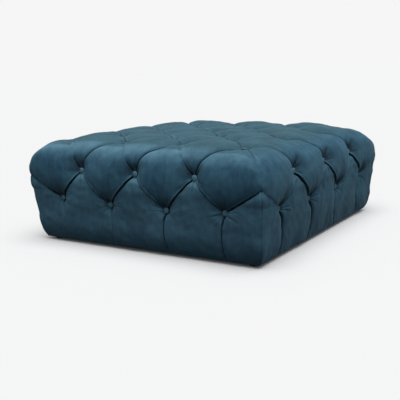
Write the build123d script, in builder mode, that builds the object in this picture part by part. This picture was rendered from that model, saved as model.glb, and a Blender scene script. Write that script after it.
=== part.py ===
from build123d import *
from collections import namedtuple
from math import atan, degrees, sqrt
import os

os.makedirs("parts", exist_ok=True)

# A square button-tufted ottoman coffee table. Millimetres, +Z up, origin on the floor below the middle.

# Tufting: a square grid of buttons on top, and two staggered rows on each side
tuft_rows = 4
tuft_pitch = 250
top_tuft_height = 368
upper_tuft_height = 285
upper_tuft_reach = 487
lower_tuft_height = 166
lower_tuft_reach = 483
outer_tuft_inset = 15
outer_tuft_lift = 10

# Padding: how far the pads and the pleats between them stand out from the buttons
top_crown = 21
side_crown = 29
skirt_crown = 10
top_pleat_rise = 8
edge_pleat_rise = 34
side_pleat_rise = 25
fold_rise = 7
skirt_pleat_rise = 16
pleat_fill_share = 0.75
pad_strips = 3
pad_facets = 6
skirt_strips = 2

# Corner, where the pleats of two sides meet in a fold
corner_fold_reach = 507
corner_fold_height = 271
corner_pleat_rise = 45
corner_radius = 14
corner_bulge = 8

# Underside: the cover is turned under the frame, with the dust cover and the glides below it
hem_reach = 477
turn_under_thickness = 2
turn_under_width = 30
dust_cover_thickness = 1
dust_cover_inset = 12
glide_height = 10
glide_radius = 24
glide_taper = 3
glide_edge = 2
glide_inset = 20
hem_height = glide_height + dust_cover_thickness
frame_bottom = hem_height + turn_under_thickness

# Frame: a plywood box on corner posts
frame_reach = 458
panel_thickness = 15
deck_thickness = 15
deck_top = 306
post_size = 45
rail_thickness = 30
rail_height = 60
bearer_height = 60
bearer_offset = 187.5
corner_block_leg = 70
corner_block_height = 40
deck_bottom = deck_top - deck_thickness
panel_inside = frame_reach - panel_thickness
post_inside = panel_inside - post_size
rail_inside = panel_inside - rail_thickness

# Foam between the frame and the cover
seat_foam_thickness = 50
side_foam_thickness = 8
foam_edge_radius = 60
foam_clearance = 0.3
foam_reach = frame_reach + side_foam_thickness
foam_top = deck_top + seat_foam_thickness

# Buttons, and the twine that pulls each one in through foam and wood
button_radius = 11
button_rim = 3
button_height = 8
button_pocket_depth = 2
button_clearance = 0.5
twine_radius = 1.5
twine_clearance = 0.3
twine_tail = 6
foam_hole_radius = 5
wood_hole_radius = 2.5
button_crown_radius = 6
button_sides = 10
twine_sides = 6

# Screws
screw_radius = 2.25
screw_head_radius = 4.5
screw_head_height = 2.5
screw_clearance = 0.1
screw_sides = 8
glide_screw_length = 35
glide_screw_recess = 4

# Tufting: each tuft is a place on the skin, the way it faces there and where it lies
# and, on a pleat, how far it has risen off the line between its tufts
Tuft = namedtuple("Tuft", "place outward kind rise", defaults=[0])
side_names = ["front", "right", "back", "left"]
quarter_turn = 90
top_columns = [(i - (tuft_rows - 1) / 2) * tuft_pitch for i in range(tuft_rows)]
between_columns = [(i - (tuft_rows - 2) / 2) * tuft_pitch for i in range(tuft_rows - 1)]
pleat_rises = {
    ("top", "top"): top_pleat_rise,
    ("side", "top"): edge_pleat_rise,
    ("side", "side"): side_pleat_rise,
    ("corner", "side"): fold_rise,
    ("corner", "top"): corner_pleat_rise,
}
over_the_edge = [("side", "top"), ("corner", "top")]


def top_tuft(x, y):
    return Tuft(Vector(x, y, top_tuft_height), Vector(0, 0, 1), "top")


def upper_tuft(column):
    place = Vector(between_columns[column], -upper_tuft_reach, upper_tuft_height)
    return Tuft(place, Vector(0, -1, 0), "side")


def lower_tuft(column):
    x, height = top_columns[column], lower_tuft_height
    if column in (0, tuft_rows - 1):
        x -= outer_tuft_inset if column else -outer_tuft_inset
        height += outer_tuft_lift
    return Tuft(Vector(x, -lower_tuft_reach, height), Vector(0, -1, 0), "side")


def corner_fold(side):
    """The fold at one end of the front, side 1 on the right and -1 on the left."""
    place = Vector(side * corner_fold_reach, -corner_fold_reach, corner_fold_height)
    return Tuft(place, Vector(side, -1, 0).normalized(), "corner")


def pleat_point(a, b, share):
    """A point of the pleat from tuft a to tuft b, which bows outward between them."""
    kinds = tuple(sorted((a.kind, b.kind)))
    rise = pleat_rises[kinds] * 4 * share * (1 - share)
    place = a.place * (1 - share) + b.place * share + (a.outward + b.outward).normalized() * rise
    outward = (a.outward * (1 - share) + b.outward * share).normalized()
    return Tuft(place, outward, a.kind, 0 if kinds in over_the_edge else rise)


def skirt_point(tuft, share):
    """A point of the pleat that runs from a lower tuft down to the hem."""
    x, y, _ = tuft.place
    hem_share = hem_reach / lower_tuft_reach
    hem = Vector(x * hem_share, y * hem_share, hem_height)
    rise = skirt_pleat_rise * 4 * share * (1 - share)
    return Tuft(tuft.place * (1 - share) + hem * share + tuft.outward * rise, tuft.outward, tuft.kind, rise)


def facet(*corners):
    with BuildLine() as outline:
        Polyline(*corners, close=True)
    return Face(outline.wire())


def skin_between(lines):
    """Flat facets from each line across a pad to the next, where a line of one point is a tip."""
    faces = []
    for near, far in zip(lines, lines[1:]):
        for i in range(max(len(near), len(far)) - 1):
            if len(near) == 1:
                faces.append(facet(near[0], far[i], far[i + 1]))
            elif len(far) == 1:
                faces.append(facet(near[i], near[i + 1], far[0]))
            else:
                faces.append(facet(near[i], near[i + 1], far[i]))
                faces.append(facet(near[i + 1], far[i + 1], far[i]))
    return faces


def arched(left, right, outward, rise):
    """Points on a shallow parabola from one place to another, one for each facet and one more."""
    shares = [step / pad_facets for step in range(pad_facets + 1)]
    return [left * (1 - s) + right * s + outward * rise * 4 * s * (1 - s) for s in shares]


def arch(left, right, fade=1):
    """The line across a pad. It stands out most on the sides, where the pad is wide and its pleats are low."""
    across = (right.place - left.place).length
    outward = (left.outward + right.outward).normalized()
    crown = side_crown + (top_crown - side_crown) * outward.Z
    filled = pleat_fill_share * (left.rise + right.rise) / 2
    return arched(left.place, right.place, outward, fade * crown * sqrt(across / tuft_pitch) - filled)


def pad_half(tip, left, right):
    """The lines across a pad from its tip to the two tufts at its sides."""
    shares = [step / pad_strips for step in range(1, pad_strips + 1)]
    lines = [arch(pleat_point(tip, left, s), pleat_point(tip, right, s)) for s in shares]
    return [[tip.place], *lines]


def pad(tip, left, right, far_tip):
    """A diamond pad between four tufts."""
    return skin_between(pad_half(tip, left, right) + pad_half(far_tip, left, right)[-2::-1])


def skirt_pad(tip, left, right):
    """A pad below an upper tuft, which runs down from two lower tufts to the hem."""
    lines = pad_half(tip, left, right)
    for step in range(1, skirt_strips + 1):
        share = step / skirt_strips
        ends = skirt_point(left, share), skirt_point(right, share)
        lines.append(arch(*ends, fade=1 - share))
    return skin_between(lines)


def corner_reach(height):
    """How far out the corner edge stands, from the hem up to the fold."""
    share = (height - hem_height) / (corner_fold_height - hem_height)
    straight = hem_reach + (corner_fold_reach - hem_reach) * share
    return straight + corner_bulge * 4 * share * (1 - share)


def corner_line(left, radius, crown):
    """The line round the corner at one height, from the front pleat to the same on the right."""
    height = left.place.Z
    reach = corner_reach(height)
    centre = Vector(reach - radius, radius - reach, height)
    front = arched(left.place, centre + Vector(0, -radius), Vector(0, -1), crown)
    middle = centre + Vector(1, -1).normalized() * radius
    side = [Vector(-point.Y, -point.X, height) for point in reversed(front)]
    return [*front, middle, *side]


def corner_skirt():
    """The panel that goes round the front right corner, from the fold down to the hem."""
    fold, tuft = corner_fold(1), lower_tuft(tuft_rows - 1)
    lines = [[fold.place]]
    for step in range(1, pad_strips + 1):
        share = step / pad_strips
        lines.append(corner_line(pleat_point(fold, tuft, share), corner_radius * share, skirt_crown * share))
    for step in range(1, skirt_strips + 1):
        share = step / skirt_strips
        lines.append(corner_line(skirt_point(tuft, share), corner_radius, skirt_crown * (1 - share)))
    return skin_between(lines)


def front_skin():
    """The pads of the front, from the first row of top buttons down to the hem."""
    last = tuft_rows - 1
    row = [top_tuft(x, top_columns[0]) for x in top_columns]
    centres = [top_tuft(x, between_columns[0]) for x in between_columns]
    upper = [upper_tuft(i) for i in range(last)]
    lower = [lower_tuft(i) for i in range(tuft_rows)]
    faces = []
    for i in range(last):
        faces += pad(centres[i], row[i], row[i + 1], upper[i])
        faces += skirt_pad(upper[i], lower[i], lower[i + 1])
    for i in range(1, last):
        faces += pad(row[i], upper[i - 1], upper[i], lower[i])
    faces += pad(row[0], corner_fold(-1), upper[0], lower[0])
    faces += pad(row[last], upper[last - 1], corner_fold(1), lower[last])
    faces += corner_skirt()
    return faces


def top_skin():
    """The whole diamond pads inside the top grid, once along X and once along Y."""
    faces = []
    for row in top_columns[1:-1]:
        for i, column in enumerate(between_columns):
            tips = [(column, row - tuft_pitch / 2), (column, row + tuft_pitch / 2)]
            sides = [(top_columns[i], row), (top_columns[i + 1], row)]
            for swap in (1, -1):
                near, far = [top_tuft(*place[::swap]) for place in tips]
                left, right = [top_tuft(*place[::swap]) for place in sides]
                faces += pad(near, left, right, far)
    return faces


def underside(skin):
    """The flat face that closes the skin at the hem."""
    hem = ShapeList(skin).edges().filter_by_position(Axis.Z, hem_height, hem_height)
    return Face(Wire(hem))


def foam_room(gap):
    """The space inside the cover, rounded at its top edges, with a gap added all round."""
    with BuildPart() as room:
        with BuildSketch(Plane.XY.offset(frame_bottom)):
            Rectangle(2 * (foam_reach + gap), 2 * (foam_reach + gap))
        extrude(amount=foam_top + gap - frame_bottom)
        fillet(room.faces().sort_by(Axis.Z)[-1].edges(), radius=foam_edge_radius)
    return room.part


def tuft_planes():
    """A plane at each button, facing out, by side name and for the top."""
    grid = [(x, y) for x in top_columns for y in top_columns]
    grid += [(x, y) for x in between_columns for y in between_columns]
    planes = {"top": [Plane(top_tuft(*place).place) for place in grid]}
    front = [lower_tuft(i) for i in range(tuft_rows)] + [upper_tuft(i) for i in range(tuft_rows - 1)]
    for turn, name in enumerate(side_names):
        angle = turn * quarter_turn
        planes[name] = [
            Plane(origin=t.place.rotate(Axis.Z, angle), z_dir=t.outward.rotate(Axis.Z, angle)) for t in front
        ]
    return planes


def save(shape, name):
    shape.label = name
    export_step(shape, f"parts/{name}.step")


button_planes = tuft_planes()
all_planes = [plane for planes in button_planes.values() for plane in planes]

# Tufted cover: one skin of crowned pads, hollow for the foam and the frame, with a pocket at each button
front = front_skin()
skin = top_skin()
for turn in range(len(side_names)):
    skin += [face.rotate(Axis.Z, turn * quarter_turn) for face in front]
skin.append(underside(skin))
with BuildPart() as pocket:
    with BuildSketch(Plane.XY.offset(-button_pocket_depth)):
        RegularPolygon(button_radius + button_clearance, button_sides)
    extrude(amount=side_crown)
    with BuildSketch(Plane.XY.offset(-button_pocket_depth)):
        RegularPolygon(twine_radius + twine_clearance, twine_sides)
    extrude(amount=-(side_crown + side_foam_thickness))
with BuildPart() as tufted_cover:
    add(Solid(Shell(skin)))
    add(foam_room(foam_clearance), mode=Mode.SUBTRACT)
    with BuildSketch(Plane.XY.offset(hem_height)):
        Rectangle(2 * (hem_reach - turn_under_width), 2 * (hem_reach - turn_under_width))
    extrude(amount=turn_under_thickness, mode=Mode.SUBTRACT)
    with Locations(*all_planes):
        add(pocket.part, mode=Mode.SUBTRACT)
save(tufted_cover.part, "tufted_cover")

# Covered buttons, domed, one group for the top and one for each side
with BuildPart() as button:
    with BuildSketch():
        RegularPolygon(button_radius, button_sides)
    extrude(amount=button_rim)
    with BuildSketch(Plane.XY.offset(button_rim)):
        RegularPolygon(button_radius, button_sides)
    dome_height = button_height - button_rim
    extrude(amount=dome_height, taper=degrees(atan((button_radius - button_crown_radius) / dome_height)))
for name, planes in button_planes.items():
    with BuildPart() as buttons:
        with Locations(*[plane.offset(-button_pocket_depth) for plane in planes]):
            add(button.part)
    save(buttons.part, f"{name}_buttons")

# Button twine, from the underside of each button through foam and wood
for name, planes in button_planes.items():
    with BuildPart() as twine:
        for plane in planes:
            start = plane.offset(-button_pocket_depth)
            inside = deck_bottom if name == "top" else panel_inside
            reach = start.origin.dot(plane.z_dir) - inside + twine_tail
            with BuildSketch(start):
                RegularPolygon(twine_radius, twine_sides)
            extrude(amount=-reach)
    save(twine.part, f"{name}_button_twine")


def twine_holes(planes, inner, outer, radius):
    """A tool for the holes that the twine runs through, from one depth to another."""
    with BuildPart() as holes:
        for plane in planes:
            out = plane.origin.dot(plane.z_dir)
            with BuildSketch(plane.offset(inner - out)):
                RegularPolygon(radius, twine_sides)
            extrude(amount=outer - inner)
    return holes.part


# Seat foam, on the deck and over the top edges of the side foam
with BuildPart() as seat_foam:
    add(foam_room(0))
    with BuildSketch(Plane.XY.offset(frame_bottom)):
        Rectangle(2 * foam_reach, 2 * foam_reach)
    extrude(amount=deck_top - frame_bottom, mode=Mode.SUBTRACT)
    add(twine_holes(button_planes["top"], deck_top, foam_top, foam_hole_radius), mode=Mode.SUBTRACT)
save(seat_foam.part, "seat_foam")

# Deck, one sheet of plywood on the panels, the posts and the bearers
with BuildPart() as top_deck:
    with BuildSketch(Plane.XY.offset(deck_bottom)):
        Rectangle(2 * frame_reach, 2 * frame_reach)
    extrude(amount=deck_thickness)
    add(twine_holes(button_planes["top"], deck_bottom, deck_top, wood_hole_radius), mode=Mode.SUBTRACT)
save(top_deck.part, "top_deck")

# Sides: the front and back panels run the full width, and the right and left ones fit between them
for turn, name in enumerate(side_names):
    full = name in ("front", "back")
    angle = turn * quarter_turn
    planes = button_planes["front"]
    with BuildPart() as side_foam:
        with BuildSketch(Plane.XY.offset(frame_bottom)):
            with Locations((0, -(frame_reach + side_foam_thickness / 2))):
                Rectangle(2 * (foam_reach if full else frame_reach), side_foam_thickness)
        extrude(amount=deck_top - frame_bottom)
        add(foam_room(0), mode=Mode.INTERSECT)
        add(twine_holes(planes, frame_reach, foam_reach, foam_hole_radius), mode=Mode.SUBTRACT)
    save(side_foam.part.rotate(Axis.Z, angle), f"{name}_foam")
    with BuildPart() as panel:
        with BuildSketch(Plane.XY.offset(frame_bottom)):
            with Locations((0, -(frame_reach - panel_thickness / 2))):
                Rectangle(2 * (frame_reach if full else panel_inside), panel_thickness)
        extrude(amount=deck_bottom - frame_bottom)
        add(twine_holes(planes, panel_inside, frame_reach, wood_hole_radius), mode=Mode.SUBTRACT)
    save(panel.part.rotate(Axis.Z, angle), f"{name}_panel")
    with BuildPart() as rail:
        with BuildSketch(Plane.XY.offset(frame_bottom)):
            with Locations((0, -(panel_inside - rail_thickness / 2))):
                Rectangle(2 * post_inside, rail_thickness)
        extrude(amount=rail_height)
    save(rail.part.rotate(Axis.Z, angle), f"{name}_rail")

glide_reach = frame_reach - glide_inset


def glide_screw(gap, head_bottom):
    """A screw in the middle of a glide, or with a gap the hole for it."""
    with BuildPart() as screw:
        with BuildSketch(Plane.XY.offset(head_bottom)):
            RegularPolygon(screw_head_radius + gap, screw_sides)
        extrude(amount=glide_screw_recess - head_bottom)
        with BuildSketch(Plane.XY.offset(glide_screw_recess)):
            RegularPolygon(screw_radius + gap, screw_sides)
        extrude(amount=glide_screw_length)
    return screw.part


# Screws, up through the glides and the dust cover into the posts
with BuildPart() as glide_screws:
    with GridLocations(2 * glide_reach, 2 * glide_reach, 2, 2):
        add(glide_screw(0, glide_screw_recess - screw_head_height))
save(glide_screws.part, "glide_screws")

# Glides, tapered and rimmed, under the corner posts
with BuildPart() as glide:
    with BuildSketch(Plane.XZ):
        with BuildLine():
            foot_radius = glide_radius - glide_taper
            Polyline(
                (0, 0),
                (foot_radius - glide_edge, 0),
                (foot_radius, glide_edge),
                (glide_radius, glide_height),
                (0, glide_height),
                close=True,
            )
        make_face()
    revolve(axis=Axis.Z)
    add(glide_screw(screw_clearance, 0), mode=Mode.SUBTRACT)
with BuildPart() as glides:
    with GridLocations(2 * glide_reach, 2 * glide_reach, 2, 2):
        add(glide.part)
save(glides.part, "glides")

# Corners: a post and a notched corner block at each
for turn, (left_side, right_side) in enumerate(zip(side_names, side_names[1:] + side_names[:1])):
    name, angle = f"{left_side}_{right_side}", turn * quarter_turn
    with BuildPart() as post:
        with BuildSketch(Plane.XY.offset(frame_bottom)):
            with Locations((panel_inside, -panel_inside)):
                Rectangle(post_size, post_size, align=(Align.MAX, Align.MIN))
        extrude(amount=deck_bottom - frame_bottom)
        with Locations((glide_reach, -glide_reach)):
            add(glide_screw(screw_clearance, 0), mode=Mode.SUBTRACT)
    save(post.part.rotate(Axis.Z, angle), f"{name}_post")
    with BuildPart() as block:
        with BuildSketch(Plane.XY.offset(frame_bottom)):
            with BuildLine():
                tip = rail_inside - corner_block_leg
                Polyline((rail_inside, -rail_inside), (tip, -rail_inside), (rail_inside, -tip), close=True)
            make_face()
            with Locations((panel_inside, -panel_inside)):
                Rectangle(post_size, post_size, align=(Align.MAX, Align.MIN), mode=Mode.SUBTRACT)
        extrude(amount=corner_block_height)
    save(block.part.rotate(Axis.Z, angle), f"{name}_corner_block")

# Bearers under the deck, from the front panel to the back one
for name, place in (("left", -bearer_offset), ("right", bearer_offset)):
    with BuildPart() as bearer:
        with BuildSketch(Plane.XY.offset(deck_bottom - bearer_height)):
            with Locations((place, 0)):
                Rectangle(rail_thickness, 2 * panel_inside)
        extrude(amount=bearer_height)
    save(bearer.part, f"{name}_bearer")

# Dust cover, stretched across the underside over the turned-under edge of the cover
with BuildPart() as dust_cover:
    with BuildSketch(Plane.XY.offset(glide_height)):
        Rectangle(2 * (hem_reach - dust_cover_inset), 2 * (hem_reach - dust_cover_inset))
    extrude(amount=dust_cover_thickness)
    with GridLocations(2 * glide_reach, 2 * glide_reach, 2, 2):
        add(glide_screw(screw_clearance, 0), mode=Mode.SUBTRACT)
save(dust_cover.part, "dust_cover")
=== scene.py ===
from contextlib import contextmanager
from math import cos, pi, radians, sin
from typing import NamedTuple

import bmesh
import bpy
import numpy as np
from bpy.props import FloatProperty, FloatVectorProperty, IntProperty, PointerProperty
from mathutils import Matrix, Vector


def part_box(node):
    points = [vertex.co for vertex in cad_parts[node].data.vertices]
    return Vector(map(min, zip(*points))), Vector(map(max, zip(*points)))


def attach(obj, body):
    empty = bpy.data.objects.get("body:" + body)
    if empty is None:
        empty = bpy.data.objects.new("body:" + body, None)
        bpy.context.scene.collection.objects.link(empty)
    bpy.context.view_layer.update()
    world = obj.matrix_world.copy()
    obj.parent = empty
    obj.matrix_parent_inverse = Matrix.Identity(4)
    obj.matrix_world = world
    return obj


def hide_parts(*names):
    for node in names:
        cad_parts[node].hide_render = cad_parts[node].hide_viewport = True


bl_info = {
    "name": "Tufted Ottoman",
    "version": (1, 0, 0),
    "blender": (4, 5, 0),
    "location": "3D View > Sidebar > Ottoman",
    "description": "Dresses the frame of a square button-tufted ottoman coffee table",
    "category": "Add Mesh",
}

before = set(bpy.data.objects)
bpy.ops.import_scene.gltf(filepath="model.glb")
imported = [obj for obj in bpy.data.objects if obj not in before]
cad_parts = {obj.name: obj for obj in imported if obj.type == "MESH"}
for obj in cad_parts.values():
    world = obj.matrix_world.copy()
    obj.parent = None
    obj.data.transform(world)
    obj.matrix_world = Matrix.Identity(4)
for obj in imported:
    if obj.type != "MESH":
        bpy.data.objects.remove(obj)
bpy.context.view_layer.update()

# Metres, +Z up, the front of the ottoman towards -Y
HALF_TURN = np.diag([-1.0, -1.0, 1.0])
OVER_DIAGONAL = np.array([[0.0, -1.0, 0.0], [-1.0, 0.0, 0.0], [0.0, 0.0, 1.0]])
SIDE_TURNS = {
    "front": np.eye(3),
    "right": OVER_DIAGONAL,
    "back": HALF_TURN,
    "left": HALF_TURN @ OVER_DIAGONAL,
}


def length(name, text, value, least=0.0):
    """A size in metres that a user may change."""
    return FloatProperty(name=name, description=text, default=value, min=least, unit="LENGTH", precision=4)


def share(name, text, value):
    """A share from 0 to 1 that a user may change."""
    return FloatProperty(name=name, description=text, default=value, min=0, max=1, subtype="FACTOR")


def colour(name, text, value):
    """A colour that a user may change."""
    return FloatVectorProperty(
        name=name, description=text, default=value, size=3, min=0, max=1, subtype="COLOR"
    )


def number(name, text, value):
    """A plain number that a user may change."""
    return FloatProperty(name=name, description=text, default=value, min=0, subtype="UNSIGNED")


class TuftingSizes(bpy.types.PropertyGroup):
    """Where the buttons, the corner folds and the hem lie."""

    pitch: length("Button spacing", "Distance from one top button to the next", 0.250)
    top_height: length("Top buttons", "Height of the top buttons", 0.368)
    upper_height: length("Upper row", "Height of the upper side buttons", 0.285)
    upper_reach: length("Upper row reach", "How far out the upper side buttons lie", 0.487)
    lower_height: length("Lower row", "Height of the lower side buttons", 0.166)
    lower_reach: length("Lower row reach", "How far out the lower side buttons lie", 0.483)
    outer_inset: length("Outer inset", "How far the last lower buttons stand in from the grid", 0.015)
    outer_lift: length("Outer lift", "How far the last lower buttons stand above the others", 0.010)
    fold_reach: length("Corner fold reach", "How far out the corner folds stand", 0.507)
    fold_height: length("Corner fold height", "Height of the corner folds", 0.263)
    corner_radius: length("Corner radius", "Rounding of the corner edges below the folds", 0.011)
    corner_bulge: length("Corner bulge", "How far the sides swell between the folds and the hem", 0.008)
    hem_reach: length("Hem reach", "How far out the hem lies", 0.477)
    hem_height: length("Hem height", "Height of the hem above the floor", 0.011)


class PaddingSizes(bpy.types.PropertyGroup):
    """How the pads swell between their pleats."""

    segments: IntProperty(name="Segments", description="Steps along each side of a pad", default=20, min=8)
    bunching: share("Bunching", "How much closer the steps lie beside the pleats", 0.72)
    edge_bend: length("Edge bend", "How far pleats over the top edge stand off their straight line", 0.024)
    corner_bend: length("Corner bend", "How far the pleat over a corner stands off its straight line", 0.062)
    top_rise: length("Top pleats", "How far top pleats rise between buttons", 0.014)
    edge_rise: length("Edge pleats", "How far crisp pleats over the top edge rise besides their bend", 0.015)
    edge_sway: length("Edge sway", "How far crisp pleats over the top edge swing sideways", 0.030)
    soft_edge_rise: length("Soft edge pleats", "How far fading pleats over the top edge rise", 0.022)
    side_rise: length("Side pleats", "How far side pleats rise between buttons", 0.023)
    fold_rise: length("Corner folds", "How far corner folds rise between their ends", 0.006)
    corner_widening: number("Corner widening", "Growth of the rounding up the corner", 3.0)
    corner_flattening: share("Corner flattening", "How much less the top of a corner is rounded", 0.60)
    skirt_rise: length("Skirt pleats", "How far skirt pleats rise between button and hem", 0.017)
    top_crown: length("Top crown", "How far pads on the top stand above their pleats", 0.002)
    side_crown: length("Side crown", "How far pads on the sides stand above their pleats", 0.001)
    fullness: length("Fullness", "Height of the round shoulders along the pleats", 0.0045)
    slit_width: length("Slit width", "How fast a slit closes away from its pleat", 0.0022)
    lip: length("Lip", "How far the rolled edge of a hanging pad stands out", 0.0036)
    lip_place: length("Lip place", "Distance of the rolled edge from its pleat", 0.0052)
    lip_width: length("Lip width", "Half the width of the rolled edge", 0.0022)
    dimple: length("Dimple", "How fast the pads rise around a button", 0.0115)
    hollow: number("Hollow", "How much wider a dimple is above its button", 0.8)
    pressure: number("Pressure", "Pressure that swells the pads", 4.0)
    ease: share("Ease", "How much larger the cloth is cut than the form below it", 0.02)
    swelling: length("Swelling", "The furthest that the pads may swell", 0.008)
    lean_right: number("Lean right", "How much the top drops towards the right", 0.008)
    lean_back: number("Lean back", "How much the top drops towards the back", 0.010)


class FinishColours(bpy.types.PropertyGroup):
    """The colours of the fabric and of what it covers."""

    velvet: colour("Velvet", "Its colour where its pile lies flat", (0.014, 0.053, 0.092))
    # painted highlight: the colour the velvet is painted where it faces up into the light, over edges and
    # crests
    velvet_painted_highlight: colour("Velvet, opened", "Its colour where it turns over an edge", (0.122, 0.268, 0.360))
    # painted shade: how much darker the velvet is painted towards the floor
    hem_shade: share("Hem shade", "How much darker the velvet is at the hem, where its pile lies down", 0.62)
    velvet_light: colour("Velvet, raised", "Its colour where its pile stands up", (0.048, 0.140, 0.208))
    # painted shade: the dark colour the velvet is painted towards the floor
    velvet_painted_hem_shade: colour("Velvet, hem", "Colour that the velvet turns to at the hem", (0.006, 0.022, 0.036))
    # painted sheen: the greyer, greener colour the top is painted, where it is seen at a flat angle
    velvet_painted_top_sheen: colour("Velvet, top", "Colour that the velvet turns to on the top", (0.056, 0.110, 0.105))
    timber: colour("Timber", "Colour of the posts, rails and bearers", (0.52, 0.36, 0.20))
    plywood: colour("Plywood", "Colour of the panels and the deck", (0.60, 0.45, 0.28))
    foam: colour("Foam", "Colour of the foam", (0.80, 0.74, 0.55))
    cambric: colour("Dust cover", "Colour of the dust cover", (0.012, 0.012, 0.013))
    glide: colour("Glides", "Colour of the plastic glides", (0.015, 0.015, 0.016))
    floor: colour("Floor", "Colour of the floor", (0.922, 0.922, 0.922))


# The skin: tufts, the pleats between them and the pads between the pleats


class Tuft(NamedTuple):
    """A place on the skin, the way it faces there, and where it lies."""

    place: np.ndarray
    outward: np.ndarray
    kind: str


class Pleat(NamedTuple):
    """A line from tuft to tuft.

    It stands out from the straight line by its bend and beside it by its sway, and the skin rises over it.
    The pads roll in to it, as fast as its roll says. Its slit has a depth and its lip a height at each end.
    """

    start: Tuft
    end: Tuft
    bend: float
    rise: float
    roll: float
    slits: tuple
    lips: tuple
    sway: float = 0.0


def unit(vectors):
    """Vectors divided by their lengths."""
    return vectors / np.linalg.norm(vectors, axis=-1, keepdims=True)


def steps():
    """Shares from 0 to 1 that lie closer at both ends: s less a share of sin(2 pi s) / (2 pi)."""
    _, padding = sizes()
    s = np.linspace(0, 1, padding.segments + 1)
    return s - padding.bunching * np.sin(2 * pi * s) / (2 * pi)


def hump(s, power=1.0):
    """A bump from 0 up to 1 and back, 4s(1 - s) to a power."""
    return np.maximum(4 * s * (1 - s), 0) ** power


def eased(s):
    """A smooth step from 0 to 1, 3s^2 - 2s^3."""
    s = np.clip(s, 0, 1)
    return s * s * (3 - 2 * s)


def grown(value, start, span):
    """0 up to a start and 1 from a span beyond it, eased between. A span below zero grows downwards."""
    return eased((value - start) / span)


def by_fold(soft, crisp, fold):
    """A value for a fold from 0, which is soft, to 1, which is crisp."""
    return soft + (crisp - soft) * fold


def sizes():
    """The sizes of the tufting and of the padding."""
    return bpy.context.scene.ottoman_tufting, bpy.context.scene.ottoman_padding


def grid_columns():
    """The four columns of the buttons' grid, and the three between them."""
    tufting, _ = sizes()
    return (np.arange(4) - 1.5) * tufting.pitch, (np.arange(3) - 1.0) * tufting.pitch


def top_tuft(x, y):
    return Tuft(np.array([x, y, sizes()[0].top_height]), np.array([0.0, 0.0, 1.0]), "top")


def front_tuft(x, reach, height):
    return Tuft(np.array([x, -reach, height]), np.array([0.0, -1.0, 0.0]), "side")


def upper_tuft(column):
    tufting, _ = sizes()
    return front_tuft(grid_columns()[1][column], tufting.upper_reach, tufting.upper_height)


def lower_tuft(column):
    tufting, _ = sizes()
    x, height = grid_columns()[0][column], tufting.lower_height
    if column in (0, 3):
        x -= np.sign(x) * tufting.outer_inset
        height += tufting.outer_lift
    return front_tuft(x, tufting.lower_reach, height)


def corner_fold(side):
    """The fold at one end of the front, side 1 on the right and -1 on the left."""
    tufting, _ = sizes()
    place = np.array([side * tufting.fold_reach, -tufting.fold_reach, tufting.fold_height])
    return Tuft(place, unit(np.array([side, -1.0, 0.0])), "corner")


# The roll of each sort of pleat, and the depths of its slit at both ends. A slit whose depth falls below zero
# closes on the way.
TOP_ROLL, TOP_SLITS = 0.014, (0.0035, 0.0035)
SIDE_ROLL, RIGHTWARD_SLIT, LEFTWARD_SLIT = 0.0055, 0.010, 0.006
CORNER_SLITS = (0.0045, -0.0045)
FOLD_ROLL, SOFT_FOLD_ROLL, FOLD_SLITS = 0.006, 0.040, (0.002, 0.009)
CRISP_ROLL, CRISP_SLITS = 0.010, (0.009, 0.003)
FADING_ROLL, FADING_SLITS = 0.022, (0.012, -0.022)
SOFT_FOLD_RISE = 0.011  # how much further a soft corner fold rises than a crisp one


def pleat_between(a, b, corner_fullness=1.0, fold=1.0):
    """The pleat from tuft a to tuft b, as their kinds and places make it. Fold is 1 at a crisp corner fold.

    Of the two pleats that run up from a side button, the right one is crisp and the left one soon fades.
    """
    _, padding = sizes()
    kinds = tuple(sorted((a.kind, b.kind)))
    if kinds == ("top", "top"):
        return Pleat(a, b, 0, padding.top_rise, TOP_ROLL, TOP_SLITS, (0, 0))
    if kinds == ("side", "side"):
        low, high = sorted((a, b), key=lambda tuft: tuft.place[2])
        depth = RIGHTWARD_SLIT if low.place[0] < high.place[0] else LEFTWARD_SLIT
        return Pleat(a, b, 0, padding.side_rise, SIDE_ROLL, (depth, depth), (padding.lip, padding.lip))
    if kinds == ("corner", "top"):
        slits = CORNER_SLITS if a.kind == "top" else CORNER_SLITS[::-1]
        return Pleat(a, b, padding.corner_bend * corner_fullness, 0, 0, slits, (0, 0))
    if kinds == ("corner", "side"):
        slits, lips = tuple(depth * fold for depth in FOLD_SLITS), (0, padding.lip * fold)
        if a.kind == "side":
            slits, lips = slits[::-1], lips[::-1]
        rise = by_fold(padding.fold_rise + SOFT_FOLD_RISE, padding.fold_rise, fold)
        return Pleat(a, b, 0, rise, by_fold(SOFT_FOLD_ROLL, FOLD_ROLL, fold), slits, lips)
    side, top = (a, b) if a.kind == "side" else (b, a)
    if top.place[0] > side.place[0]:
        rise, roll, slits, sway = padding.edge_rise, CRISP_ROLL, CRISP_SLITS, -padding.edge_sway
    else:
        rise, roll, slits, sway = padding.soft_edge_rise, FADING_ROLL, FADING_SLITS, 0
    if a is top:
        slits = slits[::-1]
    return Pleat(a, b, padding.edge_bend, rise, roll, slits, (0, 0), sway)


TOP_SHARE = 0.6  # how much a top tuft's direction counts where a pleat bends over the edge
RISE_POWER = 0.8
SLIT_END, SLIT_FADE = 0.04, 0.06  # the shares of a pleat that have no slit, and where it grows


def pleat_line(pleat, s):
    """The pleat's bent line: straight from tuft to tuft, and out by its bend times a hump.

    It bends along the mean of its tufts' directions, in which a top tuft has a smaller share.
    """
    a, b = pleat.start, pleat.end
    straight = np.outer(1 - s, a.place) + np.outer(s, b.place)
    shares = [TOP_SHARE if tuft.kind == "top" else 1.0 for tuft in (a, b)]
    bent = np.outer(hump(s) * pleat.bend, unit(shares[0] * a.outward + shares[1] * b.outward))
    return straight + bent + np.outer(hump(s) * pleat.sway, [1, 0, 0])


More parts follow.
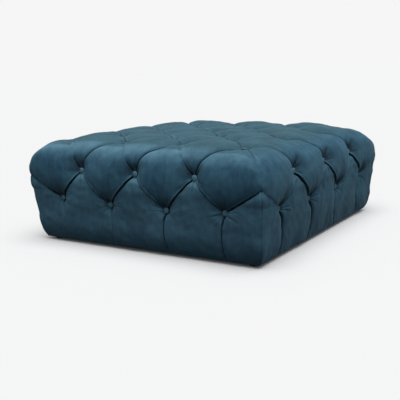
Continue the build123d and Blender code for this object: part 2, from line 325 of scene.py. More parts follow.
def pleat_outward(pleat, s):
    """The way that the skin faces along the pleat."""
    return unit(np.outer(1 - s, pleat.start.outward) + np.outer(s, pleat.end.outward))


def pleat_rise(pleat, s):
    """How high the pleat stands above its bent line."""
    return pleat.rise * hump(s, RISE_POWER)


def along(ends, s):
    """From one end's value to the other's."""
    return ends[0] * (1 - s) + ends[1] * s


def slit_window(s):
    """1 along a pleat and 0 at its ends, where the buttons are."""
    return grown(s, SLIT_END, SLIT_FADE) * grown(1 - s, SLIT_END, SLIT_FADE)


def slit_depth(pleat, s):
    """The slit's depth along the pleat: from one end's to the other's, and none below the buttons."""
    return np.maximum(along(pleat.slits, s), 0) * slit_window(s)


BUTTON_SEAT = 0.0105  # the skin starts to rise this far from a button's middle
TOP_WIDENING = 0.8  # how much of a dimple's widening a top button has on all sides
TINY = 1e-9


def dimpled(points, tufts):
    """0 over each button, growing to 1 away from it: 1 - exp(-(distance - radius) / spread).

    The spread is wider above a side button, where the hanging pad sinks in to it.
    """
    _, padding = sizes()
    factor = np.ones(points.shape[:-1])
    for tuft in tufts:
        if tuft.kind != "corner":
            away = points - tuft.place
            distance = np.linalg.norm(away, axis=-1)
            steep = away[..., 2] / np.maximum(distance, TINY)
            above = np.clip(steep, 0, 1) if tuft.kind == "side" else TOP_WIDENING
            spread = padding.dimple * (1 + padding.hollow * above)
            factor = factor * (1 - np.exp(-np.maximum(distance - BUTTON_SEAT, 0) / spread))
    return factor


class Patch(NamedTuple):
    """A grid of points, the way it faces, and what the pleats do at each point.

    near is the distance to the pleats, cut the depth of their slit there and lip the height of the roll
    beside it; hollow, for painted shade, is 1 on a button, high in the painted gloom above it and 0 away
    from it; held is 1 where the cover is sewn down, and skirt is 1 on a skirt.
    """

    points: np.ndarray
    outward: np.ndarray
    near: np.ndarray
    cut: np.ndarray
    lip: np.ndarray
    hollow: np.ndarray
    held: np.ndarray
    skirt: np.ndarray


GLOOM_ASIDE, GLOOM_LIFT = 0.010, 0.018  # how far left of an upper button, and above any, the gloom is deepest
UPPER_GLOOM, LOWER_GLOOM = (0.040, 0.025), (0.057, 0.031)  # its width and height
GLOOM_DEPTH, GLOOM_POWER = 0.97, 0.3


def gloom(points, tufts):
    """The painted shade that darkens the colour where a pad hangs in over a side button.

    It is exp(-x^2 - z^2), where x and z are the distances from its middle as shares of its width and its
    height. It stands a little to the left of an upper button, where the soft pleat runs.
    """
    tufting, _ = sizes()
    shade = np.zeros(points.shape[:-1])
    for tuft in tufts:
        if tuft.kind == "side":
            upper = tuft.place[2] > (tufting.lower_height + tufting.upper_height) / 2
            width, height = UPPER_GLOOM if upper else LOWER_GLOOM
            x = (points[..., 0] - tuft.place[0] + GLOOM_ASIDE * upper) / width
            z = (points[..., 2] - tuft.place[2] - GLOOM_LIFT) / height
            shade = np.maximum(shade, np.exp(-x ** 2 - z ** 2))
    return GLOOM_DEPTH * shade ** GLOOM_POWER


PLEAT_BLEND = 0.004
SEWN_DEPTH, SEWN_WIDTH = 0.004, 0.007  # a slit this deep is sewn down, over this width
HOLD_GAIN, HOLD_START = 2.2, 0.6  # how a button's hold grows towards its middle


def beside(distances, cuts, lips):
    """The distance to the nearest pleat, and the pleats' cut and lip, weighed by exp(-distance / blend)."""
    distances = np.array(np.broadcast_arrays(*distances))
    near = distances.min(axis=0)
    weights = np.exp(-(distances - near) / PLEAT_BLEND)
    weights = weights / weights.sum(axis=0)
    spread = [np.array([np.broadcast_to(value, near.shape) for value in values]) for values in (cuts, lips)]
    return near, *(np.sum(weights * values, axis=0) for values in spread)


def sewn(near, cut, dimple):
    """How firmly the cover is held: along the pleats as far as they are cut, and round the buttons."""
    stitched = np.clip(cut / SEWN_DEPTH, 0, 1) * np.exp(-(near / SEWN_WIDTH) ** 2)
    return np.maximum(stitched, np.clip(HOLD_GAIN * (1 - dimple) - HOLD_START, 0, 1))


SHARP_SLIT = 0.003  # a pad rolls in fully to a slit of this depth


def shared_out(u, v, values):
    """The values of corners A, B, C and D over a pad, in straight lines from edge to edge."""
    a, b, c, d = values
    return (1 - u) * (1 - v) * a + u * (1 - v) * b + u * v * c + (1 - u) * v * d


def pad(corners, corner_fullness=1.0, fold=1.0):
    """A pad between four tufts A, B, C and D.

    Its base is the Coons patch of the four bent pleats. On that stand the rise of the pleats, which meet in
    the middle as a + b - ab, round shoulders that grow as 1 - exp(-distance / roll) from each pleat, and a
    crown of two crossed humps.
    """
    _, padding = sizes()
    a, b, c, d = corners
    s = steps()
    pleats = [pleat_between(*ends, corner_fullness, fold) for ends in ((a, b), (d, c), (a, d), (b, c))]
    bottom, top, left, right = pleats
    u, v = s[:, None, None], s[None, :, None]
    lines = [pleat_line(pleat, s) for pleat in pleats]
    base = (1 - v) * lines[0][:, None] + v * lines[1][:, None]
    base = base + (1 - u) * lines[2][None] + u * lines[3][None] - shared_out(u, v, [t.place for t in corners])
    facing = unit(shared_out(u, v, [tuft.outward for tuft in corners]))

    u, v = u[..., 0], v[..., 0]
    across = ((1 - v) * bottom.rise + v * top.rise) * hump(u, RISE_POWER)
    upward = ((1 - u) * left.rise + u * right.rise) * hump(v, RISE_POWER)
    height = across + upward - across * upward / max(pleat.rise for pleat in pleats)

    edges, runs = (base[:, :1], base[:, -1:], base[:1], base[-1:]), (u, u, v, v)
    distances = [np.linalg.norm(base - edge, axis=-1) for edge in edges]
    shoulders = np.ones_like(height)
    for pleat, distance, run in zip(pleats, distances, runs):
        if pleat.roll:
            at_corner = "corner" in (pleat.start.kind, pleat.end.kind)
            sharp = 1 if at_corner else np.clip(along(pleat.slits, run) / SHARP_SLIT, 0, 1)
            shoulders = shoulders * (1 - sharp * np.exp(-distance / pleat.roll))
    crown = padding.side_crown + (padding.top_crown - padding.side_crown) * facing[..., 2]
    height = height + padding.fullness * shoulders + crown * hump(u) * hump(v)
    cuts = [slit_depth(pleat, run) for pleat, run in zip(pleats, runs)]
    lips = [along(pleat.lips, run) * slit_window(run) for pleat, run in zip(pleats, runs)]
    near, cut, lip = beside(distances, cuts, lips)
    dimple = dimpled(base, corners)
    points = rounded_corners(base + facing * (height * dimple)[..., None])
    hollow = np.maximum(1 - dimple, gloom(points, corners))
    return Patch(points, facing, near, cut, lip, hollow, sewn(near, cut, dimple), np.zeros_like(near))


# The skirts: their slits, their bows out and aside, their rolls and the edge that is turned under
SOFT_FOLD = 0.0
SKIRT_SLITS = (0.0015, 0.0030, 0.0075, 0.0090)  # depths below the lower buttons, from left to right
SKIRT_SLIT_START, SKIRT_SLIT_LOSS = 0.12, 0.5  # shares of the way to the hem, and of the depth
SKIRT_POWER = 0.7
SKIRT_BOW = 0.009
SOFT_RISE, SOFT_BOW = 0.4, 2.4  # a soft skirt pleat's rise and bow, as shares of a crisp one's
SKIRT_ROLL = 0.012
SKIRT_HOLD = 0.6
LEAST_SWELL = 0.0005  # skirts stand out at least this far from the line between their edges
HEM_ROLL = 0.004
STRIP_WIDTH, STRIP_THICKNESS = 0.030, 0.002
ROOM_GAP = 0.0003  # between the foam and the inside of the cover
FOAM_ARCH = 0.060  # radius of the round top edge of the foam
QUARTER_ANGLES = (pi / 6, pi / 3, pi / 2)


def envelope_reach(height):
    """How far out the skirts stand at a height: a slope from the hem to the fold, and a slight swell."""
    tufting, _ = sizes()
    s = np.clip((height - tufting.hem_height) / (tufting.fold_height - tufting.hem_height), 0, 1)
    straight = tufting.hem_reach + (tufting.fold_reach - tufting.hem_reach) * s
    return straight + tufting.corner_bulge * hump(s)


def skirt_edge(tip, tuft, column, fold):
    """One edge of a skirt: down the pleat from its tip to a lower tuft, and on down to the hem.

    Gives the edge's points, and the slit's depth along it. Below the tuft the line bows outward by a hump,
    and towards the middle of the side by another.
    """
    tufting, padding = sizes()
    s, pleat = steps(), pleat_between(tip, tuft, 1.0, fold)
    line, slit = pleat_line(pleat, s), slit_depth(pleat, s)
    upper = line + pleat_outward(pleat, s) * (pleat_rise(pleat, s) * dimpled(line, (tip, tuft)))[:, None]
    s = s[1:]
    in_to_hem = tufting.hem_reach / tufting.lower_reach
    hem = tuft.place * [in_to_hem, in_to_hem, 0] + [0, 0, tufting.hem_height + HEM_ROLL]
    lower = np.outer(1 - s, tuft.place) + np.outer(s, hem)
    lower_slit = SKIRT_SLITS[column] * eased(s / SKIRT_SLIT_START) * (1 - SKIRT_SLIT_LOSS * s)
    out = padding.skirt_rise * by_fold(SOFT_RISE, 1, fold) * hump(s, SKIRT_POWER) * dimpled(lower, (tuft,))
    aside = np.sign(tuft.place[0]) * SKIRT_BOW * by_fold(SOFT_BOW, 1, fold)
    lower = lower + np.outer(out, tuft.outward) - np.outer(hump(s), [aside, 0, 0])
    return np.concatenate([upper, lower]), np.concatenate([slit, lower_slit])


def below_hem(hem):
    """The rows that follow the hem: rolled under, flat inwards, and up the inside round the foam.

    Each row is the hem's line clipped to a smaller square.
    """
    tufting, _ = sizes()
    low, out, inside = tufting.hem_height, tufting.hem_reach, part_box("seat_foam")[1]
    room, top, strip = inside.x + ROOM_GAP, inside.z + ROOM_GAP, out - STRIP_WIDTH
    over = low + STRIP_THICKNESS
    rows = [(out - HEM_ROLL * (1 - cos(t)), low + HEM_ROLL * (1 - sin(t))) for t in QUARTER_ANGLES]
    rows += [((out + strip) / 2, low), (strip, low), (strip, over), (room, over)]
    rows += [(room, low + (top - FOAM_ARCH - low) * k / 4) for k in range(1, 4)]
    rows += [(room - FOAM_ARCH * (1 - cos(t)), top - FOAM_ARCH * (1 - sin(t))) for t in (0, *QUARTER_ANGLES)]
    made = []
    for reach, height in rows:
        flat = np.clip(hem[:, :2], -reach, reach)
        made.append(np.column_stack([flat, np.full(len(hem), height)]))
    return made


def with_hem(patch):
    """A skirt's patch with the rows below its hem added, which have no outward direction."""
    extra = np.array(below_hem(patch.points[-1]))
    shape = extra.shape[:2]
    more = (extra, np.zeros_like(extra), np.ones(shape), *np.zeros((3, *shape)), *np.ones((2, *shape)))
    return Patch(*(np.concatenate(pair) for pair in zip(patch, more)))


def skirt(tip, left, right, columns, fold):
    """A skirt pad: rows from its left edge to its right one, pulled out to the envelope away from both.

    A row's points go straight across, then out by the gap to the envelope times 1 - exp(-distance / roll)
    of each edge. The rows go on round the hem, under the frame and up the inside.
    """
    s = steps()[None, :, None]
    (left_line, left_slit), (right_line, right_slit) = (
        skirt_edge(tip, tuft, column, fold) for tuft, column in zip((left, right), columns)
    )
    left_line, right_line = left_line[:, None], right_line[:, None]
    points = left_line * (1 - s) + right_line * s
    width = np.linalg.norm(right_line - left_line, axis=-1)
    s = s[..., 0]
    inside = (1 - np.exp(-s * width / SKIRT_ROLL)) * (1 - np.exp(-(1 - s) * width / SKIRT_ROLL))
    gap = np.maximum(envelope_reach(points[..., 2]) + points[..., 1], LEAST_SWELL)
    dimple = dimpled(points, (tip, left, right))
    slits = [left_slit[:, None], right_slit[:, None]]
    near, cut, lip = beside([s * width, (1 - s) * width], slits, [0.0, 0.0])
    points[..., 1] -= gap * inside * dimple
    facing = np.broadcast_to([0.0, -1.0, 0.0], points.shape).copy()
    held = np.maximum(sewn(near, cut, dimple), SKIRT_HOLD)
    return with_hem(Patch(points, facing, near, cut, lip, 1 - dimple, held, np.ones_like(near)))


def corner_skirt(column):
    """The skirt round the front right corner: each row runs to the corner, and back in on the right.

    The fold is crisp on the front and soft on the right. The corner is rounded after.
    """
    tufting, _ = sizes()
    tip, tuft = corner_fold(1), lower_tuft(3)
    edges = [skirt_edge(tip, tuft, column, fold) for fold in (1.0, SOFT_FOLD)]
    reach = envelope_reach(edges[0][0][:, 2])
    for line, _ in edges:
        reach = np.maximum(reach, -line[:, 1])
    front, right = (corner_half(line, slit, reach[:, None], (tip, tuft)) for line, slit in edges)
    right = (right[0] @ OVER_DIAGONAL.T, *right[1:])
    points, *values = (np.concatenate([a, b[:, ::-1][:, 1:]], axis=1) for a, b in zip(front, right))
    points = rounded_corners(points)
    facing = unit(points * [1.0, 1.0, 0.0] - [tufting.pitch, -tufting.pitch, 0.0])
    return with_hem(Patch(points, facing, *values))


def corner_half(line, slit, reach, tufts):
    """One half of a corner's skirt and its pleat values: rows from an edge to the corner at a reach.

    A row is pulled out to the reach away from its edge by 1 - exp(-distance / roll).
    """
    s = steps()[None]
    run = np.maximum(reach - line[:, :1], 0)
    distance = s * run
    inside = (1 - np.exp(-distance / SKIRT_ROLL)) / np.maximum(1 - np.exp(-run / SKIRT_ROLL), TINY)
    out = (reach + line[:, 1:2]) * inside
    height = np.repeat(line[:, 2:], s.size, axis=1)
    points = np.stack([line[:, :1] + distance, line[:, 1:2] - out, height], axis=-1)
    dimple = dimpled(points, tufts)
    points[..., 1] = line[:, 1:2] - out * np.maximum(dimple, s)
    cut = np.repeat(slit[:, None], s.size, axis=1)
    held = np.maximum(sewn(distance, cut, dimple), SKIRT_HOLD)
    return points, distance, cut, np.zeros_like(cut), 1 - dimple, held, np.ones_like(cut)


CORNER_START, CORNER_GROWTH = 0.02, 0.05  # how far beyond the last buttons the rounding starts, and grows


def rounded_corners(points):
    """Rounds the corners of the skin, which are sharp over the diagonals.

    Within r / sqrt(2) of a diagonal plane, at a distance t, a point moves in by the gap between a square
    corner and its round, r sqrt(2) - t - sqrt(r^2 - t^2). It moves level up to the fold, and ever more down
    above it.
    """
    tufting, padding = sizes()
    x, y, z = points[..., 0], points[..., 1], points[..., 2]
    t = np.abs(np.abs(x) - np.abs(y)) / np.sqrt(2)
    up = np.clip((z - tufting.fold_height) / (tufting.top_height - tufting.fold_height), 0, 1)
    radius = tufting.corner_radius * (1 + padding.corner_widening * up)
    near = t < radius / np.sqrt(2)
    gap = np.where(near, radius * np.sqrt(2) - t - np.sqrt(np.maximum(radius ** 2 - t ** 2, 0)), 0)
    gap *= grown(np.maximum(np.abs(x), np.abs(y)) - grid_columns()[0][-1], CORNER_START, CORNER_GROWTH)
    gap *= 1 - padding.corner_flattening * up
    level = np.cos(up * pi / 4) / np.sqrt(2)
    inward = np.stack([np.sign(x) * level, np.sign(y) * level, np.sin(up * pi / 4)], axis=-1)
    return points - inward * gap[..., None]


# How full each side's left and right corners are
CORNER_FULLNESS = {"front": (1.0, 0.95), "right": (0.62, 0.95), "back": (0.62, 0.9), "left": (1.0, 0.9)}


def side_patches(fullness, fold):
    """The pads of the front, from the first top buttons down to the hem, by its two corners' fullness."""
    columns, between = grid_columns()
    row = [top_tuft(x, columns[0]) for x in columns]
    centres = [top_tuft(x, between[0]) for x in between]
    upper, lower = [upper_tuft(i) for i in range(3)], [lower_tuft(i) for i in range(4)]
    patches = []
    for i in range(3):
        patches.append(pad([centres[i], row[i], upper[i], row[i + 1]]))
        patches.append(skirt(upper[i], lower[i], lower[i + 1], (i, i + 1), fold))
    for i in (1, 2):
        patches.append(pad([row[i], upper[i - 1], lower[i], upper[i]]))
    patches.append(pad([row[0], corner_fold(-1), lower[0], upper[0]], fullness[0], fold))
    patches.append(pad([row[3], corner_fold(1), lower[3], upper[2]], fullness[1], fold))
    return patches


def top_patches():
    """The whole diamond pads inside the top grid."""
    columns, between = grid_columns()
    half = sizes()[0].pitch / 2
    patches = []
    for row in columns[1:-1]:
        for x in between:
            for order in (1, -1):
                ends = [top_tuft(*(x, row + way * half)[::order]) for way in (-1, 1)]
                flanks = [top_tuft(*(x + way * half, row)[::order]) for way in (-1, 1)]
                patches.append(pad([ends[0], flanks[1], ends[1], flanks[0]]))
    return patches


def turned(patch, matrix):
    """A patch turned by a matrix."""
    return patch._replace(points=patch.points @ matrix.T, outward=patch.outward @ matrix.T)


def all_patches():
    """Every pad and skirt of the cover."""
    patches = top_patches()
    for side, matrix in SIDE_TURNS.items():
        fold = 1.0 if side in ("front", "back") else SOFT_FOLD
        patches += [turned(patch, matrix) for patch in side_patches(CORNER_FULLNESS[side], fold)]
    for x, y, column in ((1, 1, 3), (-1, 1, 0), (1, -1, 0), (-1, -1, 3)):
        patches.append(turned(corner_skirt(column), np.diag([x, y, 1.0])))
    return patches


def grid_faces(rows, columns, first, flip):
    """The quads of a grid of rows by columns whose points start at a given number."""
    index = first + np.arange(rows * columns).reshape(rows, columns)
    quads = np.stack([index[:-1, :-1], index[1:, :-1], index[1:, 1:], index[:-1, 1:]], axis=-1).reshape(-1, 4)
    return quads[:, ::-1] if flip else quads


def faces_away(patch):
    """Whether a grid's quads face against the way that the patch faces."""
    p = patch.points
    normal = np.cross(p[1:, :-1] - p[:-1, :-1], p[:-1, 1:] - p[:-1, :-1])
    return float(np.sum(normal * patch.outward[:-1, :-1])) < 0


def mesh_of(name, points, faces):
    """A mesh from arrays of points and quads."""
    mesh = bpy.data.meshes.new(name)
    mesh.from_pydata(points.tolist(), [], faces.tolist())
    return mesh


def piece_of(mesh, name):
    piece = bpy.data.objects.new(name, mesh)
    bpy.context.scene.collection.objects.link(piece)
    return piece


def set_attribute(mesh, name, levels):
    attribute = mesh.attributes.new(name, "FLOAT", "POINT")
    attribute.data.foreach_set("value", levels.astype(np.float32))


def found_in(collection, key, size=1):
    """The numbers that a collection's members have under a key, as rows of a size."""
    found = np.empty(len(collection) * size, np.float32)
    collection.foreach_get(key, found)
    return found.reshape(-1, size).astype(float)


def coordinates(mesh):
    return found_in(mesh.vertices, "co", 3)


def place_points(mesh, points):
    mesh.vertices.foreach_set("co", points.astype(np.float32).ravel())
    mesh.update()


@contextmanager
def edited(mesh):
    """A mesh opened for bmesh's operators, and put back smooth."""
    work = bmesh.new()
    work.from_mesh(mesh)
    yield work
    work.to_mesh(mesh)
    work.free()
    mesh.shade_smooth()


PLEAT_VALUES = ("near", "cut", "lip", "hollow", "held", "skirt")
MERGED, LEAST_EDGE = 0.00004, 0.00001  # distances below which points are merged and edges dissolved


def joined_patches(patches, name):
    """One mesh of several patches: each quad faces out, shared edges are merged and the inside is closed."""
    faces, first = [], 0
    for patch in patches:
        rows, columns = patch.points.shape[:2]
        faces.append(grid_faces(rows, columns, first, faces_away(patch)))
        first += rows * columns
    points = np.concatenate([patch.points.reshape(-1, 3) for patch in patches])
    mesh = mesh_of(name, points, np.concatenate(faces))
    for value in PLEAT_VALUES:
        set_attribute(mesh, value, np.concatenate([getattr(patch, value).reshape(-1) for patch in patches]))
    with edited(mesh) as work:
        bmesh.ops.remove_doubles(work, verts=work.verts, dist=MERGED)
        bmesh.ops.dissolve_degenerate(work, edges=work.edges, dist=LEAST_EDGE)
        open_edges = [edge for edge in work.edges if edge.is_boundary]
        filled = bmesh.ops.holes_fill(work, edges=open_edges, sides=0)["faces"]
        bmesh.ops.triangulate(work, faces=[face for face in filled if len(face.verts) > 4])
    return mesh


def pleat_values(mesh):
    """The pleat values of a mesh's points, by name."""
    return {name: found_in(mesh.attributes[name].data, "value")[:, 0] for name in PLEAT_VALUES}


CLOTH = {
    "quality": 4,
    "mass": 0.3,
    "tension_stiffness": 15,
    "compression_stiffness": 15,
    "shear_stiffness": 5,
    "bending_stiffness": 0.4,
    "use_pressure": True,
}
CLOTH_FRAMES = 20


def swollen(piece):
    """Lets the cover swell as cloth under pressure for some frames, held where it is sewn.

    A point's move is divided by sqrt(1 + (move / limit) squared), so that none goes further than the limit.
    """
    _, padding = sizes()
    points, held = coordinates(piece.data), np.round(pleat_values(piece.data)["held"], 2)
    group = piece.vertex_groups.new(name="sewn")
    for weight in np.unique(held[held > 0]):
        group.add(np.flatnonzero(held == weight).tolist(), float(weight), "REPLACE")
    cloth = piece.modifiers.new("swelling", "CLOTH")
    for key, value in CLOTH.items():
        setattr(cloth.settings, key, value)
    cloth.settings.uniform_pressure_force = padding.pressure
    cloth.settings.shrink_min = -padding.ease
    cloth.settings.effector_weights.gravity = 0
    cloth.settings.vertex_group_mass = group.name
    cloth.collision_settings.use_collision = False
    for frame_number in range(1, CLOTH_FRAMES + 1):
        bpy.context.scene.frame_set(frame_number)
    seen = piece.evaluated_get(bpy.context.evaluated_depsgraph_get())
    moved = coordinates(seen.data) - points
    far = np.linalg.norm(moved, axis=1, keepdims=True)
    points += moved / np.sqrt(1 + (far / padding.swelling) ** 2)
    piece.modifiers.clear()
    piece.vertex_groups.clear()
    bpy.context.scene.frame_set(1)
    place_points(piece.data, points)


def divided(piece):
    """The piece's mesh with one subdivision applied."""
    finer = piece.modifiers.new("finer", "SUBSURF")
    finer.levels = finer.render_levels = 1
    graph = bpy.context.evaluated_depsgraph_get()
    seen = piece.evaluated_get(graph)
    mesh = bpy.data.meshes.new_from_object(seen, preserve_all_data_layers=True, depsgraph=graph)
    piece.modifiers.clear()
    piece.data = mesh
    mesh.shade_smooth()
    return mesh


LEAN_START, LEAN_GROWTH = 0.28, 0.08  # the height at which the top's lean starts, and grows


def settled(points):
    """The top leans a little: it drops towards the back and the right, more the higher a point is."""
    _, padding = sizes()
    down = padding.lean_right * points[:, 0] + padding.lean_back * points[:, 1]
    return points - np.outer(down * grown(points[:, 2], LEAN_START, LEAN_GROWTH), [0, 0, 1])


def tufts_by_group():
    """The tufts of the top and of each side, by the name of their button node."""
    columns, between = grid_columns()
    front = [upper_tuft(i) for i in range(3)] + [lower_tuft(i) for i in range(4)]
    groups = {"top": [top_tuft(x, y) for grid in (columns, between) for x in grid for y in grid]}
    for name, matrix in SIDE_TURNS.items():
        groups[name] = [Tuft(matrix @ t.place, matrix @ t.outward, t.kind) for t in front]
    return groups


def rolling(points, amount, wavelength, seed, count=24, spread=(0.7, 1.5)):
    """Gentle unevenness: a sum of sine waves in random directions, each about one wavelength long."""
    draw = np.random.default_rng(seed)
    directions = unit(draw.normal(size=(count, 3)))
    numbers = 2 * pi / (wavelength * draw.uniform(*spread, count))
    phases = draw.uniform(0, 2 * pi, count)
    waves = np.sin(points @ (directions * numbers[:, None]).T + phases)
    return amount * waves.sum(axis=1) / np.sqrt(count / 2)


CREASE_REACH = 0.075  # creases are worked out this far from a button
CREASE_NUMBERS = (5, 8, 11, 15, 19, 23)  # ridges round a button, of each cosine
CREASE_DEPTH, CREASE_LIMIT = 0.0027, 1.2
CREASE_START, CREASE_GROWTH = 0.010, 0.006
CREASE_PEAK, CREASE_SPREAD = 0.012, 0.024
UPRIGHT = 0.9  # a tuft whose direction rises less than this is on a side


def wrinkled(points, tufts, seed):
    """Creases that run out from each button, deepest close to it and faint at 60 mm.

    They go in by the square of a sum of cosines of the angle, where that sum is above zero.
    """
    draw = np.random.default_rng(seed)
    height = np.zeros(len(points))
    for tuft in tufts:
        away = points - tuft.place
        close = np.linalg.norm(away, axis=1) < CREASE_REACH
        flat = away[close] - np.outer(away[close] @ tuft.outward, tuft.outward)
        on_side = abs(tuft.outward[2]) < UPRIGHT
        side = np.cross(tuft.outward, [0.0, 0.0, 1.0]) if on_side else np.array([1.0, 0.0, 0.0])
        angle = np.arctan2(flat @ np.cross(side, tuft.outward), flat @ side)
        distance = np.linalg.norm(flat, axis=1)
        ridges = np.zeros(close.sum())
        for count in CREASE_NUMBERS:
            ridges += draw.uniform(0.5, 1) * np.cos(count * angle + draw.uniform(0, 2 * pi)) / 2
        fade = np.exp(-((distance - CREASE_PEAK) / CREASE_SPREAD) ** 2 / 2)
        fade *= grown(distance, CREASE_START, CREASE_GROWTH)
        height[close] -= CREASE_DEPTH * np.clip(ridges, 0, CREASE_LIMIT) ** 2 * fade
    return height


SKIRT_WIDENING = 1.3  # how much wider the slits are between the skirts of the right and the left
SIDE_SHALLOWING = 0.4  # how much shallower the upright slits are above those skirts
SEAM_DEPTH, SEAM_WIDTH, SEAM_REACH = 0.0020, 0.0021, 0.44  # of the corner seams below the folds
FOLD_DEPTH = 0.006  # a slit of this depth takes the full painted shade
# painted shade in the valley beside a skirt's slit, stronger on the right and the left
VALLEY_GAIN, SIDE_VALLEY_GAIN, VALLEY_WIDTH = 20, 60, 0.009
CREASE_SHADE = 130  # how much painted shade for each metre of a crease's depth
OUTSIDE_NEAR, HEM_TOP = 0.9, 0.020  # near is 1 below the hem, and the hem's roll ends at this height
HOLD_FADE = 0.25  # small unevenness needs the cover to be held less than 1, by this much for all of it


def creased(mesh):
    """The cover's points with slits, lips, creases and unevenness. Its fold attribute, painted shade in the
    folds, and its attribute of painted light and shade by facing are filled in.

    A slit goes in by its cut times exp(-(distance / width) squared), and is wider between the skirts of the
    right and the left. A shallow seam runs down each corner. A lip stands out by its height times
    exp(-((distance - place) / width) squared). The fold's painted shade is 1 in slits, in creases and on
    buttons, and spreads in a valley beside a skirt's slits.
    """
    _, padding = sizes()
    points, values = coordinates(mesh), pleat_values(mesh)
    facing = found_in(mesh.vertex_normals, "vector", 3)
    near, cut, skirts = values["near"], values["cut"], values["skirt"]
    outside = (near < OUTSIDE_NEAR) & (points[:, 2] > HEM_TOP)
    beyond = np.abs(points[:, 0]) > np.abs(points[:, 1])  # true on the right and the left

    free = grown(1 - values["held"], 0, HOLD_FADE) * (near < OUTSIDE_NEAR)
    height = rolling(points, amount=0.0011, wavelength=0.110, seed=3)
    height += rolling(points, amount=0.0004, wavelength=0.035, seed=4) * free
    creases = wrinkled(points, [tuft for group in tufts_by_group().values() for tuft in group], seed=5)
    slit = cut * np.exp(-(near / (padding.slit_width * (1 + SKIRT_WIDENING * beyond * skirts))) ** 2)
    slit *= 1 - SIDE_SHALLOWING * beyond * (1 - skirts) * np.clip(1 - 2 * facing[:, 2], 0, 1)
    off_corner = np.abs(np.abs(points[:, 0]) - np.abs(points[:, 1])) / np.sqrt(2)
    seam = SEAM_DEPTH * np.exp(-(off_corner / SEAM_WIDTH) ** 2)
    slit += seam * skirts * (np.abs(points[:, 0]) > SEAM_REACH)
    lip = values["lip"] * np.exp(-((near - padding.lip_place) / padding.lip_width) ** 2)
    points += facing * ((height + creases + lip - slit) * outside)[:, None]

    # fold: painted shade in slits, skirt valleys and creases, and on and above the buttons
    valley = (VALLEY_GAIN + SIDE_VALLEY_GAIN * beyond * skirts) * np.exp(-(near / VALLEY_WIDTH) ** 2)
    fold = slit / FOLD_DEPTH + skirts * cut * valley + values["hollow"] ** 3 - CREASE_SHADE * creases
    set_attribute(mesh, "fold", np.clip(fold, 0, 1))
    # painted highlight and shade by facing, with a painted highlight on the lips; 0.5 is neither
    nap = (painted_light_by_facing(points, facing, skirts, beyond) + LIP_HIGHLIGHT * lip / padding.lip) * outside
    set_attribute(mesh, "nap", np.clip(0.5 + 0.5 * nap, 0, 1))
    for name in PLEAT_VALUES:
        mesh.attributes.remove(mesh.attributes[name])
    return settled(points)


# The painted light and shade by facing: where each effect starts, over what it grows, and how strong it is
INNER_EDGE, INNER_GROWTH = 0.46, -0.06  # the inside of the top, which is seen at a flat angle
INNER_LIGHT_LOSS, INNER_LEVEL_LOSS = 0.6, 0.4  # shares by which the painted highlight and the level shade are less there
# painted highlight as the surface faces up into the light
HIGHLIGHT_START, HIGHLIGHT_RANGE, HIGHLIGHT_POWER, HIGHLIGHT = 0.08, 0.80, 1.6, 1.5
RIGHT_LIGHT_LOSS = 0.5  # the share by which the painted highlight is less where the surface faces right
# painted shade everywhere, and more where the surface is level, faces the front, faces down or lies far right
# on the top
LEVEL_START, LEVEL_GROWTH, LEVEL_SHADE = 0.90, 0.10, 1.5
SHADE_BASE, FRONT_SHADE, DOWN_SHADE = 0.25, 0.3, 1.6
FAR_SHADE, FAR_REACH, FAR_START, FAR_GROWTH = 0.45, 0.4, 0.6, 0.3
# painted highlight on the rounded corners
CORNER_HIGHLIGHT = 0.35
# painted light on the skirts, at their tips and low on the right, as far as they face the front or the right
SKIRT_LIGHT, SKIRT_LIGHT_START, SKIRT_LIGHT_GROWTH = 0.42, 0.02, 0.10
TIP_LIGHT, TIP_DROP, TIP_WIDTH, TIP_EDGE, TIP_GROWTH = 0.35, 0.022, 0.016, 0.50, -0.08
RIGHT_SKIRT_LIGHT, RIGHT_FACING = 0.6, 1.6
LOW_RIGHT_LIGHT_TOP, LOW_RIGHT_LIGHT_GROWTH = 0.31, -0.04
# painted highlight on the rolled lips
LIP_HIGHLIGHT = 0.9


